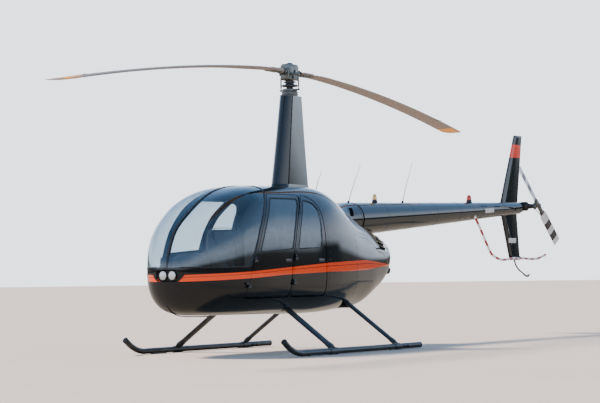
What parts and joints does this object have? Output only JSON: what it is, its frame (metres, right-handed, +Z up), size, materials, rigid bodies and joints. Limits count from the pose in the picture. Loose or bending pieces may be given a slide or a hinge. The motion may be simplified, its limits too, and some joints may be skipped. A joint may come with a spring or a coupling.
{
  "type": "light helicopter",
  "caption": "Light cabin helicopter: two-bladed main rotor on a tall faired mast, glazed nose, side doors, tail boom with fins and tail rotor, skid landing gear.",
  "frame": {"origin": "middle of the bottom of the bounding box, on the ground under the aircraft", "axes": "+X towards the nose, +Y to the port side, +Z up"},
  "size_m": [11.629, 2.164, 3.31],
  "materials": {
    "body_paint": "gloss",
    "blade_paint": "satin",
    "bare_metal": "satin",
    "gear_paint": "satin",
    "clear_glass": "clear",
    "seat_leather": "matte",
    "cabin_trim": "matte",
    "engine_metal": "matte",
    "exhaust_steel": "matte",
    "guard_paint": "gloss",
    "lamp_glass": "clear"
  },
  "bodies": {
    "airframe": {"windscreen_left": "clear_glass", "windscreen_right": "clear_glass", "cross_tube_front": "gear_paint", "cross_tube_rear": "gear_paint", "skid_left": "gear_paint", "skid_right": "gear_paint", "cabin_tub": "body_paint", "cabin_frame": "body_paint", "firewall": "cabin_trim", "cabin_floor": "cabin_trim", "seat_front_left": "seat_leather", "seat_front_right": "seat_leather", "seat_rear_left": "seat_leather", "seat_rear_right": "seat_leather", "instrument_console": "cabin_trim", "cyclic_stick": "gear_paint", "pedals": "bare_metal", "engine": "engine_metal", "boom_fairing": "body_paint", "tail_boom": "body_paint", "engine_cowl": "body_paint", "aft_cowl": "body_paint", "fin_upper": "body_paint", "fin_lower": "body_paint", "stabiliser": "body_paint", "tail_gearbox": "bare_metal", "tail_guard": "guard_paint", "mast_fairing": "body_paint", "swashplate": "bare_metal", "landing_lights": "lamp_glass", "tailpipe": "exhaust_steel"},
    "main_rotor": {"rotor_hub": "bare_metal", "main_blade_front": "blade_paint", "main_blade_rear": "blade_paint"},
    "tail_rotor": {"tail_rotor": "blade_paint"},
    "door_front_left": {"door_front_left": "body_paint", "window_front_left": "clear_glass"},
    "door_front_right": {"door_front_right": "body_paint", "window_front_right": "clear_glass"},
    "door_rear_left": {"door_rear_left": "body_paint", "window_rear_left": "clear_glass"},
    "door_rear_right": {"door_rear_right": "body_paint", "window_rear_right": "clear_glass"}
  },
  "joints": [
    {"name": "main_rotor_spin", "type": "hinge", "parent": "airframe", "child": "main_rotor", "pos_m": [0.80811, 0, 3.1], "axis": [0, 0, 1], "continuous": true},
    {"name": "tail_rotor_spin", "type": "hinge", "parent": "airframe", "child": "tail_rotor", "pos_m": [-4.96689, 0.262, 1.746], "axis": [0, 1, 0], "continuous": true},
    {"name": "door_front_left_hinge", "type": "hinge", "parent": "airframe", "child": "door_front_left", "pos_m": [2.50411, 0.623, 0.95], "axis": [0.3192, -0.079, -0.9444], "range_deg": [0, 75]},
    {"name": "door_front_right_hinge", "type": "hinge", "parent": "airframe", "child": "door_front_right", "pos_m": [2.50411, -0.623, 0.95], "axis": [-0.3192, -0.079, 0.9444], "range_deg": [0, 75]},
    {"name": "door_rear_left_hinge", "type": "hinge", "parent": "airframe", "child": "door_rear_left", "pos_m": [1.73711, 0.655, 0.95], "axis": [0.1464, 0, -0.9892], "range_deg": [0, 75]},
    {"name": "door_rear_right_hinge", "type": "hinge", "parent": "airframe", "child": "door_rear_right", "pos_m": [1.73711, -0.655, 0.95], "axis": [-0.1464, 0, 0.9892], "range_deg": [0, 75]}
  ],
  "couplings": [
    {"joint": "tail_rotor_spin", "follows": "main_rotor_spin", "ratio": -5.95}
  ]
}
